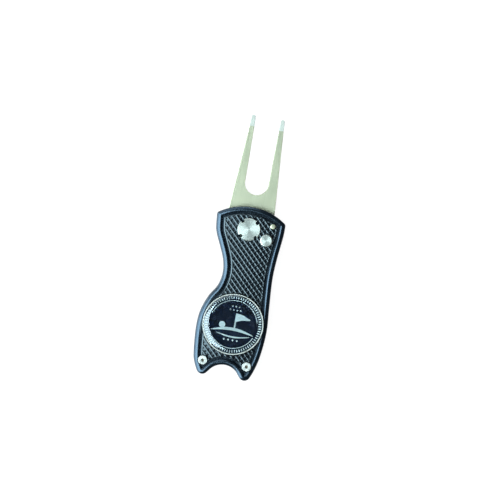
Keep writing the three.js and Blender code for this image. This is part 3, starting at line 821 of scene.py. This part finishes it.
def latch_leaf():
    low, high = span("latch_spring")
    rivet = middle("latch_rivet")
    bottom = low[2]
    top = bottom + LATCH["thickness"]
    half, head_low = LATCH["half_width"], LATCH["head_low"]
    loop = [
        (rivet[0] - half, low[1]), (rivet[0] + half, low[1]), (rivet[0] + half, head_low),
        (high[0], head_low), (high[0], high[1]), (low[0], high[1]), (low[0], head_low),
        (rivet[0] - half, head_low),
    ]
    obj = prism(loop, bottom, top, "latch_leaf")
    tooth = radial_block(
        LATCH_TOOTH["inner"], LATCH_TOOTH["outer"], LATCH_TOOTH["half"], LATCH_ANGLE,
        bottom + 0.05, LATCH_TOOTH["top"],
    )
    join_or_cut(obj, [tooth], "UNION")
    cut(obj, rod(rivet, radius_of("latch_rivet") - 0.4, bottom - 1, top + 1, 32))
    edit(obj, lambda bm: slice_along_y(bm, low[1], high[1], 0.5))
    return obj


def slice_along_y(bm, low, high, step):
    """Adds edges across a piece so that it can bend smoothly."""
    for y in np.arange(low + step, high, step):
        split_at(bm, y, 1e-8)


# ---- the ball marker and its magnet

FACE_RADIUS = MARKER_RADIUS - MARKER_LIP - 0.1
PRINT_TOP = MARKER_FLOOR + 0.16


def marker_coin():
    r, rim = MARKER_RADIUS, MARKER_FLOOR + 0.4
    lip = r - MARKER_LIP
    return turned(
        "marker_coin_rim", MARKER,
        [
            (lip, MARKER_FLOOR), (lip, rim - 0.06), (lip + 0.06, rim),
            (r - 0.06, rim), (r, rim - 0.06), (r, MARKER_SEAT + 0.15),
            (r - 0.15, MARKER_SEAT),
        ],
        192,
    )


def marker_enamel():
    return turned(
        "marker_enamel", MARKER,
        [(FACE_RADIUS, MARKER_FLOOR), (FACE_RADIUS, MARKER_FLOOR + 0.1)], 160,
    )


def marker_dome():
    edge, top = MARKER_FLOOR + 0.3, top_of("marker_dome")
    shares = np.linspace(1, 0.0001, 40) ** 0.5
    dome = [(FACE_RADIUS * share, edge + (top - edge) * (1 - share**10)) for share in shares]
    return turned("marker_resin_dome", MARKER, [(FACE_RADIUS, MARKER_FLOOR + 0.08), *dome], 160)


def raised(name, shapes):
    """Flat shapes about the marker's centre, each raised a little over the enamel."""
    points, faces = [], []
    for shape in shapes:
        shape = np.asarray(shape, float) + MARKER
        start, count = len(points), len(shape)
        points += [*at_height(shape, MARKER_FLOOR + 0.05), *at_height(shape, PRINT_TOP)]
        faces += [
            (start + i, start + (i + 1) % count, start + count + (i + 1) % count, start + count + i)
            for i in range(count)
        ]
        faces += [tuple(range(start, start + count)), tuple(range(start + count, start + 2 * count))]
    return object_of(name, points, faces)


def band(inner, outer, start, end, steps):
    """Part of a ring between two radii and two angles."""
    return np.vstack([arc((0, 0), outer, start, end, steps), arc((0, 0), inner, end, start, steps)])


def tick_ring():
    turns = np.arange(TICKS["count"]) * 360 / TICKS["count"]
    ticks = [radial_bar(TICKS["inner"], TICKS["outer"], TICKS["half"], turn) for turn in turns]
    return raised("marker_tick_ring", ticks)


def ring_lines():
    inner, outer = RING_LINE["inner"], RING_LINE["outer"]
    return raised("marker_ring_lines", [band(inner, outer, *part) for part in RING_LINE["arcs"]])


def emblem():
    """A flag on its stick over a curved green, with a ball, and rows of small marks."""
    def crescent(left, right, rise, thickness, steps=40):
        x = np.linspace(left, right, steps + 1)
        share = (x - left) / (right - left)
        middle_line = rise * np.sin(share * math.pi)
        half = thickness * np.sin(share * math.pi) ** 0.6 / 2
        return lambda y: np.vstack([
            np.column_stack([x, y + middle_line - half]),
            np.column_stack([x, y + middle_line + half])[::-1][1:-1],
        ])

    green = crescent(-8.9, 8.9, 1.5, 1.2)(-3.4)
    fold = crescent(-6.4, 7.6, -1.0, 0.6)(-4.1)
    stick = [(0.5, -2.1), (1.05, -2.1), (1.05, 4.6), (0.5, 4.6)]
    wave = np.linspace(0, 1, 17)
    upper = np.column_stack([1.05 + 5.8 * wave, 4.6 - 1.4 * wave + 0.25 * np.sin(wave * 5)])
    lower = np.column_stack([1.05 + 5.8 * wave, 1.2 + 1.8 * wave + 0.25 * np.sin(wave * 5)])
    flag = np.vstack([lower, upper[::-1][1:]])
    ball = circle((-4.4, -0.65), 1.3, 40)
    dots = [circle((x, 7.3), 0.3, 16) for x in (-1.4, 0, 1.4)]
    dots += [circle((x, 5.9), 0.3, 16) for x in (-2.1, -0.7, 0.7, 2.1)]
    diamonds = [circle((x, -6.4), 0.42, 4) for x in (-2.7, -0.9, 0.9, 2.7)]
    return raised("marker_emblem", [green, fold, stick, flag, ball, *dots, *diamonds])


def magnet():
    bottom, top = heights("magnet")
    r = MAGNET_RADIUS
    return turned(
        "marker_magnet", MARKER,
        [(r - 0.2, bottom), (r, bottom + 0.2), (r, top - 0.2), (r - 0.2, top)], 96,
    )


# ---- the screws

def screw(side):
    spot, node, r = SCREWS[side], "screw_" + side, SCREW_RADIUS
    bottom, top = heights(node)
    obj = turned(
        node + "_turned", spot,
        [
            (SCREW["shank"] - 0.2, bottom), (SCREW["shank"], bottom + 0.2), (SCREW["shank"], SCREW["seat"]),
            (r, SCREW["seat"]), (r, top - 0.2), (r - 0.05, top - 0.08), (r - 0.16, top),
        ],
    )
    cut(obj, rod(spot, SCREW["hex"], top - SCREW["socket"], top + 1, 6, SCREW["turns"][side]))
    mark_socket(obj, side)
    return obj


def mark_socket(obj, side):
    """Gives the faces inside the hex socket the second material, which is painted shade."""
    top = top_of("screw_" + side)
    spot = at(*SCREWS[side], 0)
    for face in obj.data.polygons:
        near = math.dist(face.center[:2], spot[:2]) < SCREW["hex"] * 1.02 * MM
        face.material_index = int(near and (top - 1) * MM < face.center.z < (top - 0.02) * MM)


# ---- material helpers

class Material:
    """A Principled material whose sockets are fed by procedural nodes on object coordinates."""

    def __init__(self, name, **sockets):
        self.material = bpy.data.materials.new(name)
        self.material.use_nodes = True
        self.nodes = self.material.node_tree.nodes
        self.links = self.material.node_tree.links
        self.shader = self.nodes["Principled BSDF"]
        coordinates = self.nodes.new("ShaderNodeTexCoord").outputs
        self.place, self.generated = coordinates["Object"], coordinates["Generated"]
        for socket, value in sockets.items():
            self.shader.inputs[socket.replace("_", " ")].default_value = value

    def put(self, value, socket):
        """A constant into a socket, or a link to it."""
        if isinstance(value, (int, float, tuple)):
            socket.default_value = value
        else:
            self.links.new(value, socket)

    def node(self, kind, **inputs):
        """A new node with constants or links in its inputs."""
        node = self.nodes.new("ShaderNode" + kind)
        for socket, value in inputs.items():
            self.put(value, node.inputs[socket.replace("_", " ")])
        return node

    def noise(self, size, detail=3.0, roughness=0.55, stretch=(1, 1, 1)):
        """Noise whose features are about one size across, in millimetres."""
        place = self.node("Mapping", Vector=self.place, Scale=stretch).outputs["Vector"]
        scale = 1 / (size * MM)
        node = self.node("TexNoise", Scale=scale, Detail=detail, Roughness=roughness, Vector=place)
        return node.outputs["Fac"]

    def rings(self, count):
        """Noise in rings about the middle of a round piece, in features across its width."""
        middle = self.node("Mapping", Vector=self.generated, Location=(-0.5, -0.5, 0), Scale=(1, 1, 0))
        apart = self.node("VectorMath", Vector=middle.outputs["Vector"])
        apart.operation = "LENGTH"
        node = self.node("TexNoise", Scale=count, Detail=4.0)
        node.noise_dimensions = "1D"
        self.put(apart.outputs["Value"], node.inputs["W"])
        return node.outputs["Fac"]

    def span(self, value, low, high, start=0.3, end=0.7):
        """A value mapped from one range to another."""
        ends = {"From_Min": start, "From_Max": end, "To_Min": low, "To_Max": high}
        return self.node("MapRange", Value=value, **ends).outputs["Result"]

    def colours(self, value, *stops):
        """A colour ramp. Each stop is (place, colour)."""
        node = self.node("ValToRGB", Fac=value)
        ramp = node.color_ramp
        while len(ramp.elements) < len(stops):
            ramp.elements.new(0.5)
        for element, (place, colour) in zip(ramp.elements, stops):
            element.position = place
            element.color = (*colour, 1)
        return node.outputs["Color"]

    def mix(self, share, first, second):
        """Two colours mixed by a share."""
        node = self.node("Mix", Factor=share)
        node.data_type = "RGBA"
        for socket, value in (("A", first), ("B", second)):
            self.put(value, next(i for i in node.inputs if i.name == socket and i.type == "RGBA"))
        return next(o for o in node.outputs if o.type == "RGBA")

    def combine(self, first, second, operation="ADD"):
        node = self.node("Math")
        node.operation = operation
        for socket, value in zip(node.inputs, (first, second)):
            self.put(value, socket)
        return node.outputs[0]

    def edges(self):
        """High on worn outer edges."""
        return self.span(self.node("NewGeometry").outputs["Pointiness"], 0, 1, 0.52, 0.62)

    def feed(self, socket, value):
        self.links.new(value, self.shader.inputs[socket])

    def follow(self, value, low, high, roughness, spread=0.2):
        """Feeds a colour between two, and a roughness between two, that follow a value."""
        self.feed("Base Color", self.colours(value, (0.5 - spread, low), (0.5 + spread, high)))
        self.feed("Roughness", self.span(value, *roughness))

    def bump(self, value, distance, before=None):
        """Adds a bump of a height in millimetres over the one before it."""
        node = self.node("Bump", Strength=1.0, Distance=distance * MM, Height=value)
        if before is not None:
            self.put(before, node.inputs["Normal"])
        self.feed("Normal", node.outputs["Normal"])
        return node.outputs["Normal"]

    def radial_tangent(self):
        node = self.node("Tangent")
        node.direction_type = "RADIAL"
        node.axis = "Z"
        self.feed("Tangent", node.outputs["Tangent"])


# ---- materials

def black_moulding(name, dark, light, roughness, sheen):
    """Satin black: fine grain, faint scuffs, and edges rubbed paler."""
    m = Material(name, Specular_IOR_Level=0.55, Specular_Tint=(*sheen, 1))
    patches = m.noise(3.0)
    grain = m.noise(0.12, 2.0)
    scuffs = m.span(m.noise(0.35, 2.0, 0.5, (1, 0.12, 1)), 0, 1, 0.62, 0.74)
    base = m.colours(patches, (0.35, dark), (0.65, light))
    worn = m.combine(m.edges(), m.span(m.noise(0.6), 0, 1, 0.45, 0.65), "MULTIPLY")
    rubbed = (*(channel * 3 + 0.01 for channel in light), 1)
    m.feed("Base Color", m.mix(worn, base, rubbed))
    shine = m.span(patches, roughness - 0.05, roughness + 0.05)
    m.feed("Roughness", m.combine(shine, m.combine(scuffs, 0.12, "MULTIPLY")))
    first = m.bump(grain, 0.006)
    m.bump(scuffs, 0.002, before=first)
    return m.material


def brushed_steel():
    """Steel brushed along the prongs, with a pale warm green cast."""
    m = Material("brushed_fork_steel", Metallic=1.0)
    streaks = m.noise(0.22, 4.0, 0.6, (1, 0.015, 1))
    cloud = m.noise(7.0, 2.0)
    base = m.colours(streaks, (0.3, (0.46, 0.435, 0.29)), (0.7, (0.53, 0.49, 0.335)))
    tint = m.colours(cloud, (0.35, (0.475, 0.445, 0.31)), (0.65, (0.52, 0.48, 0.325)))
    half = m.span(cloud, 0.35, 0.65)
    m.feed("Base Color", m.mix(half, base, tint))
    m.feed("Roughness", m.span(streaks, 0.31, 0.37))
    m.bump(streaks, 0.0015)
    return m.material


def ground_steel():
    """The paler, cross ground faces at the tips."""
    m = Material("ground_tip_steel", Metallic=0.7)
    lines = m.noise(0.25, 3.0, 0.6, (0.1, 1, 0.1))
    m.follow(lines, (0.36, 0.34, 0.29), (0.42, 0.40, 0.34), (0.5, 0.65))
    m.bump(lines, 0.006)
    return m.material


def spun_metal(name, base_low, base_high):
    """Metal faced on a lathe: fine rings and a highlight that spreads outwards from the centre."""
    m = Material(name, Metallic=1.0, Anisotropic=0.5, Anisotropic_Rotation=0.25)
    m.radial_tangent()
    ring = m.rings(108.0)
    m.feed("Base Color", m.colours(ring, (0.3, base_low), (0.7, base_high)))
    smudge = m.span(m.noise(1.2, 3.0), -0.012, 0.015)
    m.feed("Roughness", m.combine(m.span(ring, 0.34, 0.42), smudge))
    m.bump(ring, 0.0008)
    return m.material


def plated(name, base, roughness):
    """Bright plate with handling smudges and fine scratches."""
    m = Material(name, Metallic=1.0)
    smudges = m.noise(1.6, 4.0)
    scratches = m.span(m.noise(0.12, 2.0, 0.5, (1, 0.06, 1)), 0, 1, 0.66, 0.75)
    dull = tuple(channel * 0.86 for channel in base)
    m.feed("Base Color", m.colours(smudges, (0.35, dull), (0.65, base)))
    shine = m.span(smudges, roughness - 0.04, roughness + 0.1)
    m.feed("Roughness", m.combine(shine, m.combine(scratches, 0.12, "MULTIPLY")))
    m.bump(m.noise(0.25, 2.0), 0.002)
    return m.material


def enamel():
    """Dark navy fill under the resin."""
    m = Material("navy_enamel", Specular_IOR_Level=0.1)
    cloud = m.noise(2.5, 3.0)
    m.follow(cloud, (0.0007, 0.003, 0.0105), (0.0012, 0.0045, 0.015), (0.22, 0.3), 0.15)
    m.bump(m.noise(0.2, 2.0), 0.002)
    return m.material


def light_print():
    """Pale lines and marks that stand in the enamel."""
    m = Material("pale_marker_print", Metallic=0.2)
    cloud = m.noise(0.9, 3.0)
    m.follow(cloud, (0.40, 0.46, 0.45), (0.48, 0.54, 0.52), (0.3, 0.45), 0.15)
    m.bump(m.noise(0.15, 2.0), 0.003)
    return m.material


def clear_resin():
    m = Material(
        "clear_resin", Transmission_Weight=1.0, IOR=1.56, Base_Color=(0.97, 0.99, 1.0, 1),
    )
    dust = m.noise(0.8, 3.0)
    m.feed("Roughness", m.span(dust, 0.02, 0.07, 0.45, 0.75))
    m.bump(m.noise(3.5, 1.0), 0.003)
    return m.material


def socket_painted_shade():
    """Dark brown painted into a screw's socket as shade."""
    m = Material("socket_painted_shade", Metallic=0.4)
    cloud = m.noise(0.3, 3.0)
    m.follow(cloud, (0.05, 0.035, 0.022), (0.16, 0.12, 0.08), (0.45, 0.7))
    m.bump(cloud, 0.02)
    return m.material


def grained_metal(name, size, low, high, roughness):
    """Plain metal with a fine grain of a size in millimetres."""
    m = Material(name, Metallic=1.0)
    grain = m.noise(size, 3.0)
    m.follow(grain, low, high, roughness)
    m.bump(grain, 0.004)
    return m.material


# ---- the assembly

def assemble():
    cover_black = black_moulding(
        "satin_black_cover", (0.002, 0.003, 0.0045), (0.003, 0.0045, 0.006), 0.23, (0.62, 0.80, 1.0)
    )
    grip_black = black_moulding(
        "satin_black_grip", (0.002, 0.0025, 0.0035), (0.003, 0.004, 0.005), 0.16, (0.68, 0.78, 0.82)
    )
    steel = brushed_steel()
    spun = spun_metal("spin_faced_metal", (0.36, 0.36, 0.32), (0.43, 0.425, 0.375))
    nickel = plated("nickel_plate", (0.50, 0.48, 0.43), 0.34)
    brass = grained_metal("plain_brass", 0.5, (0.50, 0.34, 0.13), (0.66, 0.48, 0.22), (0.25, 0.42))
    wire_steel = grained_metal(
        "drawn_spring_steel", 0.15, (0.30, 0.31, 0.33), (0.42, 0.43, 0.45), (0.22, 0.38)
    )
    # The socket's dark brown is painted shade in the recess.
    socket = socket_painted_shade()
    print_light = light_print()
    pieces = [
        (front_cover(), "handle", "cover_black", [cover_black], ["front_cover"]),
        (back_cover(), "handle", "cover_black", [cover_black], ["back_cover"]),
        (spacer(), "handle", "cover_black", [cover_black], ["spine_spacer"]),
        (front_panel(), "handle", "grip_black", [grip_black], ["front_grip_panel"], 25),
        (back_panel(), "handle", "grip_black", [grip_black], ["back_grip_panel"], 25),
        (fork(), "fork", "fork_steel", [steel, ground_steel()], ["fork_blade"], 5),
        (pivot_cap(), "handle", "turned_metal", [spun], ["pivot_cap"]),
        (pivot_nut(), "handle", "turned_metal", [spun], ["pivot_nut"]),
        (stop_pin(), "handle", "fork_steel", [steel], ["stop_pin"]),
        (release_button(), "button", "turned_metal", [spun], ["release_button"]),
        (magnet(), "handle", "nickel", [nickel], ["magnet"]),
        (screw("left"), "handle", "nickel", [nickel, socket], ["screw_left"]),
        (screw("right"), "handle", "nickel", [nickel, socket], ["screw_right"]),
        (marker_coin(), "marker", "nickel", [nickel], ["marker_coin"]),
        (marker_enamel(), "marker", "marker_print", [enamel()], ["marker_face"]),
        (marker_dome(), "marker", "marker_resin", [clear_resin()], ["marker_dome"]),
        (tick_ring(), "marker", "nickel", [print_light]),
        (ring_lines(), "marker", "nickel", [print_light]),
        (emblem(), "marker", "nickel", [print_light]),
    ]
    for piece in pieces:
        finish_piece(*piece)

    coil = finish_piece(spring_coil(), None, "spring_steel", [wire_steel], ["torsion_spring"])
    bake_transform(coil)
    leaf = finish_piece(latch_leaf(), None, "spring_steel", [wire_steel], ["latch_spring"])
    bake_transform(leaf)

    kept = {
        "pivot_axle": nickel, "back_washer": brass, "front_washer": brass, "latch_rivet": brass,
        "insert_left": brass, "insert_right": brass,
    }
    for node, material in kept.items():
        for slot in frame["nodes"][node].material_slots:
            slot.material = material


# ---- the stage, the light and the camera

def paper_floor():
    m = Material("pale_paper", Emission_Color=(1, 1, 1, 1), Emission_Strength=0.97)
    tooth = m.noise(0.8, 3.0)
    m.feed("Base Color", m.colours(tooth, (0.3, (0.055, 0.05, 0.048)), (0.7, (0.065, 0.058, 0.055))))
    m.feed("Roughness", m.span(tooth, 0.8, 0.95))
    half = 1500
    floor = object_of(
        "paper_floor",
        [(-half, -half, -0.02), (half, -half, -0.02), (half, half, -0.02), (-half, half, -0.02)],
        [(0, 1, 2, 3)],
    )
    floor.data.materials.append(m.material)


def studio_world():
    """Dim light from all round, a little brighter overhead."""
    world = bpy.data.worlds.new("soft_studio")
    bpy.context.scene.world = world
    world.use_nodes = True
    nodes, links = world.node_tree.nodes, world.node_tree.links
    background = nodes["Background"]
    direction = nodes.new("ShaderNodeTexCoord").outputs["Generated"]
    parts = nodes.new("ShaderNodeSeparateXYZ")
    links.new(direction, parts.inputs[0])
    ramp = nodes.new("ShaderNodeValToRGB")
    stops = ((0.0, 0.04), (0.55, 0.06), (1.0, 0.10))
    ramp.color_ramp.elements.new(0.5)
    for element, (place, level) in zip(ramp.color_ramp.elements, stops):
        element.position = place
        element.color = (level * 0.6, level * 0.85, level, 1)
    links.new(parts.outputs["Z"], ramp.inputs["Fac"])
    links.new(ramp.outputs["Color"], background.inputs["Color"])


def softbox(name, azimuth, elevation, distance, size, radiance, colour):
    """A rectangular light aimed at the tool. Azimuth is anticlockwise from +X, in degrees."""
    light = bpy.data.lights.new(name, "AREA")
    light.shape = "RECTANGLE"
    light.size, light.size_y = size
    light.color = colour
    light.energy = radiance * math.pi * size[0] * size[1]
    lamp = bpy.data.objects.new(name, light)
    bpy.context.scene.collection.objects.link(lamp)
    a, e = math.radians(azimuth), math.radians(elevation)
    way = Vector((math.cos(a) * math.cos(e), math.sin(a) * math.cos(e), math.sin(e)))
    lamp.location = at(0, -15, 5) + way * distance
    lamp.rotation_mode = "QUATERNION"
    lamp.rotation_quaternion = way.to_track_quat("Z", "Y")


def camera():
    """Nearly overhead, leaning a little to the tool's left, with the tool turned clockwise."""
    turn, lean, forward = math.radians(10.2), math.radians(2), math.radians(0.7)
    distance, aim = 1.5, (1.9, -8.14, FRONT_OUTER)
    right = Vector((math.cos(turn), math.sin(turn), 0))
    up = Vector((-math.sin(turn), math.cos(turn), 0))
    back = (Vector((0, 0, 1)) - right * math.tan(lean) + up * math.tan(forward)).normalized()
    data = bpy.data.cameras.new("camera")
    data.lens, data.sensor_width = 265.5, 36
    data.clip_start, data.clip_end = 0.01, 10
    view = bpy.data.objects.new("camera", data)
    bpy.context.scene.collection.objects.link(view)
    view.location = at(*aim) + back * distance
    side = up.cross(back).normalized()
    top = back.cross(side)
    view.rotation_mode = "QUATERNION"
    view.rotation_quaternion = Matrix((side, top, back)).transposed().to_quaternion()
    bpy.context.scene.camera = view


def light_stage():
    paper_floor()
    studio_world()
    softbox("window", 206, 54.5, 1.2, (1.15, 1.05), 15.0, (0.68, 0.90, 1.0))
    softbox("near_wall", 200, 15, 1.2, (2.0, 0.65), 8.0, (0.62, 0.85, 1.0))
    softbox("far_wall", 122, 32, 1.2, (1.6, 0.9), 3.0, (0.7, 0.88, 1.0))
    bpy.context.scene.view_settings.view_transform = "Standard"


camera()
light_stage()
assemble()
